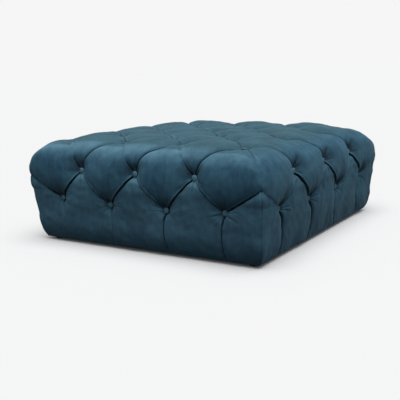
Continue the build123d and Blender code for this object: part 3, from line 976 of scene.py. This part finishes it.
def painted_light_by_facing(points, facing, skirts, beyond):
    """Painted highlight above zero and painted shade below zero, from about -1 to 1.

    It is painted lighter as its direction's height grows, to a power, and less inside the top and where it
    faces right. It is painted darker at the front, where it faces down, where it is level, and on the far
    right of the top. On the skirts, and low on the right, it is painted lighter as far as it faces the front
    or the right, most of all at the skirts' tips.
    """
    tufting, _ = sizes()
    x, z, up = points[:, 0], points[:, 2], facing[:, 2]
    front, right = np.clip(-facing[:, 1], 0, 1), np.clip(facing[:, 0], 0, 1)
    inner = grown(np.abs(points[:, :2]).max(axis=1), INNER_EDGE, INNER_GROWTH)
    highlight = np.clip((up - HIGHLIGHT_START) / HIGHLIGHT_RANGE, 0, 1) ** HIGHLIGHT_POWER
    highlight *= (1 - RIGHT_LIGHT_LOSS * np.clip(2 * right, 0, 1)) * (1 - INNER_LIGHT_LOSS * inner)
    painted_shade = SHADE_BASE + FRONT_SHADE * front - DOWN_SHADE * np.minimum(up, 0)
    painted_shade += LEVEL_SHADE * grown(up, LEVEL_START, LEVEL_GROWTH) * (1 - INNER_LEVEL_LOSS * inner)
    painted_shade += FAR_SHADE * np.clip(x / FAR_REACH, 0, 1) * grown(up, FAR_START, FAR_GROWTH)
    corner = np.clip(-2 * facing[:, 0] * facing[:, 1], 0, 1) * (1 - skirts)
    nap = HIGHLIGHT * highlight - painted_shade + CORNER_HIGHLIGHT * corner

    tip = np.exp(-((z - tufting.upper_height + TIP_DROP) / TIP_WIDTH) ** 2)
    tip *= grown(np.abs(x), TIP_EDGE, TIP_GROWTH) * (1 - beyond)
    skirt_light = SKIRT_LIGHT * grown(z, SKIRT_LIGHT_START, SKIRT_LIGHT_GROWTH) + TIP_LIGHT * tip
    skirt_light *= front + RIGHT_SKIRT_LIGHT * right
    low_right = beyond * grown(z, LOW_RIGHT_LIGHT_TOP, LOW_RIGHT_LIGHT_GROWTH) * np.clip(RIGHT_FACING * facing[:, 0], 0, 1)
    return np.maximum(nap, np.maximum(skirts, low_right) * skirt_light)


# Finishes: shader sums written as expressions


class Shade:
    """A shader socket that takes part in sums, each of which adds a Math node to its tree."""

    def __init__(self, nodes, socket):
        self.nodes, self.socket = nodes, socket

    def maths(self, operation, *values):
        return self.nodes.node("ShaderNodeMath", {"operation": operation}, dict(enumerate(values)))

    def __add__(self, other):
        return self.maths("ADD", self, other)

    def __mul__(self, other):
        return self.maths("MULTIPLY", self, other)

    def __sub__(self, other):
        return self.maths("SUBTRACT", self, other)

    def __rsub__(self, other):
        return self.maths("SUBTRACT", other, self)

    def __pow__(self, other):
        return self.maths("POWER", self, other)

    __radd__, __rmul__ = __add__, __mul__


class Nodes:
    """A node tree under construction."""

    def __init__(self, tree):
        self.tree = tree
        tree.nodes.clear()

    def node(self, kind, settings=None, sockets=None, output=0):
        """A node of a kind, with its settings made first and then its sockets' values or links."""
        made = self.tree.nodes.new(kind)
        for key, value in (settings or {}).items():
            if key == "stops":
                self.set_stops(made.color_ramp, value)
            else:
                setattr(made, key, value)
        for key, value in (sockets or {}).items():
            if isinstance(value, Shade):
                self.tree.links.new(value.socket, made.inputs[key])
            else:
                made.inputs[key].default_value = value
        return Shade(self, made.outputs[output]) if len(made.outputs) else None

    def set_stops(self, ramp, stops):
        while len(ramp.elements) < len(stops):
            ramp.elements.new(1.0)
        for element, (place, value) in zip(ramp.elements, stops):
            element.position = place
            element.color = (value, value, value, 1)

    def seen(self):
        """1 for rays from the camera and from reflections, 0 for the light between surfaces."""
        rays = ("Is Camera Ray", "Is Glossy Ray", "Is Transmission Ray")
        camera, *others = (self.node("ShaderNodeLightPath", output=ray) for ray in rays)
        for ray in others:
            camera = camera.maths("MAXIMUM", camera, ray)
        return camera


class Finish(Nodes):
    """A material under construction."""

    def __init__(self, name):
        self.material = bpy.data.materials.new(name)
        self.material.use_nodes = True
        super().__init__(self.material.node_tree)

    def place(self):
        """The object's own coordinates, in metres."""
        return self.node("ShaderNodeTexCoord", output="Object")

    def axis(self, name):
        """One of the object's own coordinates."""
        return self.node("ShaderNodeSeparateXYZ", {}, {0: self.place()}, output=name)

    def attribute(self, name):
        return self.node("ShaderNodeAttribute", {"attribute_name": name}, {}, output="Fac")

    def noise(self, scale=1.0, detail=3.0, roughness=0.5, stretch=None):
        """Noise on the object's own coordinates, which may be stretched along their axes."""
        place = self.place()
        if stretch:
            place = self.node("ShaderNodeMapping", {}, {"Vector": place, "Scale": stretch})
        sockets = {"Vector": place, "Scale": scale, "Detail": detail, "Roughness": roughness}
        return self.node("ShaderNodeTexNoise", {}, sockets)

    def waves(self, direction, scale):
        sockets = {"Vector": self.place(), "Scale": scale}
        return self.node("ShaderNodeTexWave", {"bands_direction": direction}, sockets)

    def ramp(self, value, *stops):
        return self.node("ShaderNodeValToRGB", {"stops": stops}, {"Fac": value})

    def mixed(self, factor, first, second):
        """A colour between two, by a factor."""
        colours = [c if isinstance(c, Shade) else (*c, 1.0) for c in (first, second)]
        sockets = {0: factor, 6: colours[0], 7: colours[1]}
        return self.node("ShaderNodeMix", {"data_type": "RGBA"}, sockets, output=2)

    def bump(self, height, distance, strength=1.0, under=None):
        sockets = {"Height": height, "Distance": distance, "Strength": strength}
        if under is not None:
            sockets["Normal"] = under
        return self.node("ShaderNodeBump", {}, sockets)

    def surface(self, **sockets):
        """The principled surface, its sockets given by name with underscores for spaces."""
        named = {key.replace("_", " "): value for key, value in sockets.items()}
        shader = self.node("ShaderNodeBsdfPrincipled", {}, named)
        self.node("ShaderNodeOutputMaterial", {}, {"Surface": shader})
        return self.material

    def two_tone(self, mark, tones, roughness, relief, **others):
        """A surface from one tone to another by a mark. Relief is a height, its depth and its strength."""
        colour = self.mixed(mark, *tones)
        return self.surface(Base_Color=colour, Roughness=roughness, Normal=self.bump(*relief), **others)


def colours():
    return bpy.context.scene.ottoman_colours


def toned(share_of_light, tone):
    return tuple(share_of_light * value for value in tone)


PAINTED_SHADE_TONE, FOLD_SHADE = 0.5, 0.22  # how light the painted shade is, and the painted shade in a fold
HIGHLIGHT_SHARE, FOLD_SHARE = 0.6, 0.93  # how far the colour goes to the painted highlight and the painted fold shade
HIGHLIGHT_LEVEL, HIGHLIGHT_MOTTLE = 0.62, 0.72  # how much of the painted highlight shows, and how much that varies
# the painted shade towards the floor ends at this height
HEM_SHADE_TOP = 0.20
PAINTED_TOP_SHEEN = ((0.345, 0.0), (0.380, 0.36))  # heights, and how far the colour goes to the painted sheen of the top


def velvet(name="teal_velvet"):
    """Short velvet: mottled in two tones over a fine pile.

    Painted shade darkens it towards the hem, and a painted sheen turns the top greyer and greener. By one
    attribute it is painted lighter where it faces up into the light and darker where it faces away, and by
    its fold attribute it takes painted shade, almost black, in the folds and over the buttons.
    """
    finish, tone = Finish(name), colours()
    cloud = finish.noise(scale=11.0, detail=5.0, roughness=0.65)
    cloud = finish.ramp(cloud, (0.38, 0.0), (0.62, 1.0))
    stroke = finish.noise(detail=5.0, roughness=0.65, stretch=(52.0, 52.0, 14.0))
    stroke = finish.ramp(stroke, (0.38, 0.0), (0.64, 1.0))
    pile = finish.noise(scale=520.0, detail=2.0, roughness=0.6)
    nap = cloud * 0.52 + stroke * 0.33 + pile * 0.15
    colour = finish.mixed(nap, tuple(tone.velvet), tuple(tone.velvet_light))
    height, painted_light_level = finish.axis("Z"), finish.attribute("nap")
    # painted shade: the velvet is painted darker towards the floor
    low = finish.ramp(height * (1 / HEM_SHADE_TOP), (0.0, tone.hem_shade), (1.0, 0.0))
    colour = finish.mixed(low, colour, tuple(tone.velvet_painted_hem_shade))
    # painted sheen: the top is painted greyer and greener
    colour = finish.mixed(finish.ramp(height, *PAINTED_TOP_SHEEN), colour, tuple(tone.velvet_painted_top_sheen))
    # painted highlight where the surface faces the light, and painted shade where it faces away
    painted_highlight = finish.ramp(painted_light_level, (0.5, 0.0), (1.0, HIGHLIGHT_SHARE)) * (HIGHLIGHT_LEVEL + nap * HIGHLIGHT_MOTTLE)
    colour = finish.mixed(painted_highlight, colour, tuple(tone.velvet_painted_highlight))
    painted_shade = finish.ramp(painted_light_level, (0.0, 0.5), (0.5, 0.0))
    colour = finish.mixed(painted_shade, colour, toned(PAINTED_SHADE_TONE, tone.velvet))
    # painted shade, almost black, in the folds and over the buttons
    colour = finish.mixed(finish.attribute("fold") * FOLD_SHARE, colour, toned(FOLD_SHADE, tone.velvet))
    pile_relief = finish.bump(pile, distance=0.0004, strength=0.35)
    return finish.surface(
        Base_Color=colour,
        Roughness=0.78 + nap * 0.12,
        Normal=finish.bump(stroke, distance=0.0010, strength=0.20, under=pile_relief),
        Sheen_Weight=0.14,
        Sheen_Roughness=0.40,
        Sheen_Tint=(0.42, 0.74, 0.90, 1.0),
        Specular_IOR_Level=0.18,
    )


def timber(name="pale_timber"):
    """Sawn timber with a long grain."""
    finish, tone = Finish(name), colours().timber
    grain = finish.noise(detail=5.0, roughness=0.65, stretch=(14.0, 14.0, 90.0))
    fine = finish.noise(roughness=0.6, stretch=(60.0, 60.0, 400.0))
    mark = finish.ramp(grain * 0.7 + fine * 0.3, (0.38, 0.0), (0.62, 1.0))
    return finish.two_tone(mark, (toned(0.62, tone), tuple(tone)), 0.6 + mark * 0.15, (fine, 0.0004, 0.5))


def plywood(name="plywood"):
    """Plywood: wide-ringed face grain, with its plies across the thickness."""
    finish, tone = Finish(name), colours().plywood
    rings = finish.noise(detail=4.0, roughness=0.6, stretch=(4.0, 26.0, 26.0))
    fibre = finish.noise(detail=2.0, stretch=(30.0, 500.0, 500.0))
    mark = finish.ramp(rings * 0.75 + fibre * 0.25, (0.40, 0.0), (0.60, 1.0))
    return finish.two_tone(mark, (toned(0.70, tone), tuple(tone)), 0.62 + fibre * 0.12, (fibre, 0.0003, 0.5))


def foam_finish(name="cut_foam"):
    """Open-celled foam."""
    finish, tone = Finish(name), colours().foam
    cells = finish.node("ShaderNodeTexVoronoi", {}, {"Vector": finish.place(), "Scale": 420.0})
    cloud = finish.noise(scale=7.0)
    mark = cells * 0.5 + cloud * 0.5
    return finish.two_tone(mark, (toned(0.8, tone), tuple(tone)), 0.86 + cloud * 0.08, (cells, 0.0006, 0.6))


def cambric_finish(name="dust_cover_cloth"):
    """Thin bonded cloth with a faint square weave."""
    finish, tone = Finish(name), colours().cambric
    threads = finish.waves("X", scale=260.0) * 0.5 + finish.waves("Y", scale=260.0) * 0.5
    tones = (tuple(tone), toned(3.0, tone))
    return finish.two_tone(threads, tones, 0.8 + threads * 0.1, (threads, 0.0002, 0.6))


def glide_finish(name="glide_plastic"):
    """Moulded plastic with a fine texture and scuffs."""
    finish, tone = Finish(name), colours().glide
    grain, scuff = finish.noise(scale=900.0), finish.noise(scale=60.0, detail=6.0, roughness=0.7)
    mark = finish.ramp(scuff, (0.5, 0.0), (0.75, 1.0))
    return finish.two_tone(mark, (tuple(tone), toned(2.5, tone)), 0.42 + scuff * 0.25, (grain, 0.0001, 0.5))


def steel_finish(name="plated_steel"):
    """Bright plated steel."""
    finish = Finish(name)
    haze, fine = finish.noise(scale=120.0, detail=4.0), finish.noise(scale=1500.0)
    tones = ((0.55, 0.55, 0.53), (0.72, 0.71, 0.68))
    return finish.two_tone(haze, tones, 0.24 + haze * 0.2, (fine, 0.00005, 0.4), Metallic=1.0)


def twine_finish(name="waxed_twine"):
    """Twisted waxed twine."""
    finish = Finish(name)
    twist = finish.waves("DIAGONAL", scale=240.0)
    tones = ((0.50, 0.44, 0.33), (0.76, 0.70, 0.56))
    return finish.two_tone(twist, tones, 0.55 + twist * 0.2, (twist, 0.0003, 0.6))


FLOOR_SHADE = (0.06, 0.06, 0.06)  # what the floor throws back at the ottoman
FLOOR_SQUARE = 0.44  # half the side of the ottoman's square
FLOOR_GLOW, GLOW_SLOPE = 0.7, 3.3
FLOOR_LIGHT = 1.16  # how bright the lamps make a white floor
BLACK = (0.0, 0.0, 0.0)


def floor_finish(name="pale_floor"):
    """A pale floor that lights little. The camera sees it lit near the ottoman, and aglow further out.

    d is the distance from the ottoman's square. The glow's share is d / 0.3 m, up to a limit.
    """
    finish, tone = Finish(name), colours().floor
    seen = finish.seen()
    gaps = []
    for axis in ("X", "Y"):
        along_axis = finish.axis(axis)
        gaps.append(along_axis.maths("MAXIMUM", along_axis.maths("ABSOLUTE", along_axis) - FLOOR_SQUARE, 0.0))
    away = (gaps[0] * gaps[0] + gaps[1] * gaps[1]) ** 0.5
    glow = finish.ramp(away * GLOW_SLOPE, (0.0, 0.0), (1.0, FLOOR_GLOW))
    return finish.surface(
        Base_Color=finish.mixed(seen, FLOOR_SHADE, finish.mixed(glow, toned(1 / FLOOR_LIGHT, tone), BLACK)),
        Emission_Color=finish.mixed(seen, BLACK, finish.mixed(glow, BLACK, tuple(tone))),
        Emission_Strength=1.0,
        Roughness=0.9,
        Specular_IOR_Level=0.0,
    )


def give(piece, material):
    """Puts a material on a piece in place of what it has."""
    piece.data.materials.clear()
    piece.data.materials.append(material)


def existing(name, maker):
    """The material of this name, made if there is none yet."""
    return bpy.data.materials.get(name) or maker(name)


# Operators


class OTTOMAN_OT_cover(bpy.types.Operator):
    """Make the button-tufted velvet cover"""

    bl_idname = "ottoman.cover"
    bl_label = "Tufted Cover"

    def execute(self, context):
        cover = piece_of(joined_patches(all_patches(), "tufted_velvet_cover"), "velvet_cover")
        swollen(cover)
        mesh = divided(cover)
        place_points(mesh, creased(mesh))
        give(cover, existing("teal_velvet", velvet))
        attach(cover, "root")
        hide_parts("tufted_cover")
        return {"FINISHED"}


BUTTON_RADIUS, BUTTON_DOME = 0.0110, 0.0075
BUTTON_RINGS, BUTTON_SIDES = 12, 28
BUTTON_SINK = 0.001
DOME_TURN, DOME_FLOOR, DOME_POWER = 0.68 * pi, 0.45, 0.85
RIM_START, RIM_GROWTH, RIM_SHADE = 0.48, 0.22, 0.85  # the painted shadow round the rim: where it starts, over what it grows, how dark
# painted highlight over the buttons, where 0.5 is none
TOP_BUTTON_LIGHT_LEVEL, SIDE_BUTTON_LIGHT_LEVEL = 0.70, 0.95
SLANT = (0.3, 0.2, 1.0)  # a direction that no side button faces


def button_points(tuft):
    """A covered button: a dome of rings that goes out, down and in under its rim.

    At the angle t, up to 122 degrees, the radius goes as sin(t) to a power, and the height as cos(t).
    """
    t = np.linspace(0, 1, BUTTON_RINGS) * DOME_TURN
    angle = np.linspace(0, 2 * pi, BUTTON_SIDES, endpoint=False)
    radius = BUTTON_RADIUS * np.sin(t) ** DOME_POWER
    height = BUTTON_DOME * (DOME_FLOOR + (1 - DOME_FLOOR) * np.cos(t))
    radius[-1] = 0.0
    on_side = abs(tuft.outward[2]) < UPRIGHT
    side = unit(np.cross(tuft.outward, SLANT)) if on_side else np.array([1.0, 0.0, 0.0])
    up = np.cross(tuft.outward, side)
    ring = np.cos(angle)[:, None] * side + np.sin(angle)[:, None] * up
    centre = tuft.place - tuft.outward * BUTTON_SINK
    grid = radius[:, None, None] * ring[None] + height[:, None, None] * tuft.outward + centre
    return grid.reshape(-1, 3)


def ring_faces(rings, sides, first=0):
    """The quads of closed rings of points, which start at a given number."""
    index = first + np.arange(rings * sides).reshape(rings, sides)
    after = np.roll(index, -1, axis=1)
    return np.stack([index[:-1], index[1:], after[1:], after[:-1]], axis=-1).reshape(-1, 4)


def close_up(mesh):
    """Merges the poles of a closed mesh and points its faces out."""
    with edited(mesh) as work:
        bmesh.ops.remove_doubles(work, verts=work.verts, dist=LEAST_EDGE)
        bmesh.ops.recalc_face_normals(work, faces=work.faces)


class OTTOMAN_OT_buttons(bpy.types.Operator):
    """Make the fabric-covered buttons"""

    bl_idname = "ottoman.buttons"
    bl_label = "Covered Buttons"

    def execute(self, context):
        size = BUTTON_RINGS * BUTTON_SIDES
        rim = RIM_SHADE * grown(np.linspace(0, 1, BUTTON_RINGS), RIM_START, RIM_GROWTH)
        for name, tufts in tufts_by_group().items():
            count = len(tufts)
            points = settled(np.concatenate([button_points(tuft) for tuft in tufts]))
            faces = np.concatenate([ring_faces(BUTTON_RINGS, BUTTON_SIDES, i * size) for i in range(count)])
            mesh = mesh_of(f"{name}_covered_buttons", points, faces)
            # a painted shadow round each rim, and a painted highlight over each button
            set_attribute(mesh, "fold", np.tile(np.repeat(rim, BUTTON_SIDES), count))
            nap = TOP_BUTTON_LIGHT_LEVEL if name == "top" else SIDE_BUTTON_LIGHT_LEVEL
            set_attribute(mesh, "nap", np.full(count * size, nap))
            close_up(mesh)
            buttons = piece_of(mesh, f"{name}_covered_buttons")
            give(buttons, existing("teal_velvet", velvet))
            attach(buttons, "root")
            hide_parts(f"{name}_buttons")
        return {"FINISHED"}


FOAM_EDGE, FOAM_CHAMFER = 0.020, 0.050
FOAM_RINGS, FOAM_SIDES = 34, 64
LEAST_FLAT = 0.98  # the edge's radius is at most this share of half a slab's thickness


def slab(low, high, name):
    """A slab with rounded edges: a sphere of the edge's radius pulled apart to the slab's corners.

    A point is the sign of each direction times half the size less the radius, plus the radius times the
    direction.
    """
    half = (high - low) / 2
    radius = np.minimum(FOAM_EDGE, half * LEAST_FLAT)
    u = np.linspace(-pi / 2, pi / 2, FOAM_RINGS)[:, None]
    v = (np.arange(FOAM_SIDES) + 0.5)[None] * 2 * pi / FOAM_SIDES
    x, y, z = np.cos(u) * np.cos(v), np.cos(u) * np.sin(v), np.sin(u) * np.ones_like(v)
    ball = np.stack([x, y, z], axis=-1).reshape(-1, 3)
    points = np.sign(ball) * (half - radius) * (np.abs(ball) > TINY) + ball * radius + (high + low) / 2
    mesh = mesh_of(name, within_arch(points), ring_faces(FOAM_RINGS, FOAM_SIDES))
    close_up(mesh)
    return mesh


def within_arch(points):
    """The foam's points pulled in under the round of its top edge: level with its centre, and above that by
    a quarter circle, whose reach at a height h over the centre is sqrt(radius^2 - h^2). The corners are cut
    off ever more with the height, where |x| + |y| passes twice that reach less the chamfer.
    """
    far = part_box("seat_foam")[1]
    height = np.maximum(points[:, 2:] - (far.z - FOAM_ARCH), 0)
    reach = far.x - FOAM_ARCH + np.sqrt(np.maximum(FOAM_ARCH ** 2 - height ** 2, 0))
    flat = np.clip(points[:, :2], -reach, reach)
    limit = 2 * reach - FOAM_CHAMFER * height / FOAM_ARCH
    over = np.maximum(np.abs(flat).sum(axis=1, keepdims=True) - limit, 0)
    return np.hstack([flat - np.sign(flat) * over / 2, points[:, 2:]])


class OTTOMAN_OT_foam(bpy.types.Operator):
    """Make the foam between the frame and the cover"""

    bl_idname = "ottoman.foam"
    bl_label = "Foam"

    def execute(self, context):
        for node in ("seat_foam", "front_foam", "right_foam", "back_foam", "left_foam"):
            low, high = (np.array(corner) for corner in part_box(node))
            foam = piece_of(slab(low, high, f"{node}_slab"), f"{node}_slab")
            give(foam, existing("cut_foam", foam_finish))
            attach(foam, "root")
            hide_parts(node)
        return {"FINISHED"}


CLOTH_POINTS = 61
CLOTH_THICKNESS = 0.0006


class OTTOMAN_OT_dust_cover(bpy.types.Operator):
    """Make the dust cover below the frame"""

    bl_idname = "ottoman.dust_cover"
    bl_label = "Dust Cover"

    def execute(self, context):
        low, high = (np.array(corner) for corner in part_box("dust_cover"))
        s = np.linspace(0, 1, CLOTH_POINTS)
        x, y = np.meshgrid(low[0] + (high[0] - low[0]) * s, low[1] + (high[1] - low[1]) * s, indexing="ij")
        grid = np.stack([x, y, np.full_like(x, (low[2] + high[2]) / 2)], axis=-1)
        faces = grid_faces(CLOTH_POINTS, CLOTH_POINTS, 0, True)
        mesh = mesh_of("dust_cover_cloth", grid.reshape(-1, 3), faces)
        cloth = piece_of(mesh, "dust_cover_cloth")
        mesh.shade_smooth()
        thick = cloth.modifiers.new("thickness", "SOLIDIFY")
        thick.thickness = CLOTH_THICKNESS
        thick.offset = 0
        give(cloth, existing("dust_cover_cloth", cambric_finish))
        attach(cloth, "root")
        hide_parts("dust_cover")
        return {"FINISHED"}


class OTTOMAN_OT_frame_finishes(bpy.types.Operator):
    """Give the wooden frame, the glides, the screws and the twine their finishes"""

    bl_idname = "ottoman.frame_finishes"
    bl_label = "Frame Finishes"

    def execute(self, context):
        finishes = {
            ("_post", "_rail", "_block", "_bearer"): ("pale_timber", timber, "timber"),
            ("_panel", "_deck"): ("plywood", plywood, "plywood"),
            ("_twine",): ("waxed_twine", twine_finish, "twine"),
            ("glides",): ("glide_plastic", glide_finish, "glide_plastic"),
            ("glide_screws",): ("plated_steel", steel_finish, "screw_steel"),
        }
        for node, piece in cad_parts.items():
            for endings, (name, maker, slot) in finishes.items():
                if node.endswith(endings):
                    give(piece, existing(name, maker))
        return {"FINISHED"}


FLOOR_REACH = 60


class OTTOMAN_OT_stage(bpy.types.Operator):
    """Set the floor, the lamps and the camera"""

    bl_idname = "ottoman.stage"
    bl_label = "Stage"

    def execute(self, context):
        scene = context.scene
        scene.view_settings.view_transform = "Standard"
        corners = np.array([[-1, -1, 0], [1, -1, 0], [1, 1, 0], [-1, 1, 0]], float) * FLOOR_REACH
        floor = piece_of(mesh_of("floor", corners, np.array([[0, 1, 2, 3]])), "floor")
        give(floor, floor_finish())
        set_world(scene)
        add_sun("overhead", towards=(0.22, -0.18, 1.0), spread=62.0, strength=3.15)
        set_camera(scene)
        return {"FINISHED"}


SKY, SURROUND = (0.168, 0.178, 0.190, 1.0), (0.92, 0.92, 0.92, 1.0)


def set_world(scene):
    """A pale surround for the camera and for reflections, and a soft grey light for the rest."""
    world = bpy.data.worlds.new("studio")
    world.use_nodes = True
    scene.world = world
    nodes = Nodes(world.node_tree)
    light, pale = (nodes.node("ShaderNodeBackground", {}, {"Color": tone}) for tone in (SKY, SURROUND))
    mix = nodes.node("ShaderNodeMixShader", {}, {0: nodes.seen(), 1: light, 2: pale})
    nodes.node("ShaderNodeOutputWorld", {}, {0: mix})


def add_sun(name, towards, spread, strength):
    """A wide, soft sky light that comes from a direction."""
    lamp = bpy.data.lights.new(name, "SUN")
    lamp.angle, lamp.energy = radians(spread), strength
    light = bpy.data.objects.new(name, lamp)
    bpy.context.scene.collection.objects.link(light)
    light.rotation_euler = Vector(towards).to_track_quat("Z", "Y").to_euler()


CAMERA_PLACE = (1.4719, -2.2818, 0.6487)
CAMERA_YAW = radians(-33.907)
CAMERA_PITCH = radians(11.385)
CAMERA_ROLL = radians(-2.516)
CAMERA_LENS, CAMERA_SENSOR = 60.39, 36.0


def set_camera(scene):
    """A camera at the photograph's place: it looks along yaw and down by pitch, rolled about its line."""
    camera = bpy.data.objects.new("camera", bpy.data.cameras.new("camera"))
    scene.collection.objects.link(camera)
    flat = cos(CAMERA_PITCH)
    forward = Vector((sin(CAMERA_YAW) * flat, cos(CAMERA_YAW) * flat, -sin(CAMERA_PITCH)))
    level = Vector((cos(CAMERA_YAW), -sin(CAMERA_YAW), 0.0))
    above = level.cross(forward)
    right = level * cos(CAMERA_ROLL) + above * sin(CAMERA_ROLL)
    up = above * cos(CAMERA_ROLL) - level * sin(CAMERA_ROLL)
    turn = Matrix((right, up, -forward)).transposed().to_4x4()
    camera.matrix_world = Matrix.Translation(CAMERA_PLACE) @ turn
    camera.data.lens = CAMERA_LENS
    camera.data.sensor_width = CAMERA_SENSOR
    scene.camera = camera


class OTTOMAN_PT_panel(bpy.types.Panel):
    """Lists the ottoman's pieces and sizes"""

    bl_idname = "OTTOMAN_PT_panel"
    bl_label = "Ottoman"
    bl_space_type = "VIEW_3D"
    bl_region_type = "UI"
    bl_category = "Ottoman"

    def draw(self, context):
        for operator in OPERATORS:
            self.layout.operator(operator.bl_idname)
        for group in ("ottoman_tufting", "ottoman_padding", "ottoman_colours"):
            box = self.layout.box()
            for key in getattr(context.scene, group).bl_rna.properties.keys()[2:]:
                box.prop(getattr(context.scene, group), key)


GROUPS = {"ottoman_tufting": TuftingSizes, "ottoman_padding": PaddingSizes, "ottoman_colours": FinishColours}
OPERATORS = (
    OTTOMAN_OT_cover,
    OTTOMAN_OT_buttons,
    OTTOMAN_OT_foam,
    OTTOMAN_OT_dust_cover,
    OTTOMAN_OT_frame_finishes,
    OTTOMAN_OT_stage,
)


def register():
    for group in (*GROUPS.values(), *OPERATORS, OTTOMAN_PT_panel):
        bpy.utils.register_class(group)
    for name, group in GROUPS.items():
        setattr(bpy.types.Scene, name, PointerProperty(type=group))


def unregister():
    for name in GROUPS:
        delattr(bpy.types.Scene, name)
    for group in reversed((*GROUPS.values(), *OPERATORS, OTTOMAN_PT_panel)):
        bpy.utils.unregister_class(group)


def main():
    """Makes every piece in turn."""
    register()
    bpy.ops.ottoman.cover()
    bpy.ops.ottoman.buttons()
    bpy.ops.ottoman.foam()
    bpy.ops.ottoman.dust_cover()
    bpy.ops.ottoman.frame_finishes()
    bpy.ops.ottoman.stage()


if __name__ == "__main__":
    main()
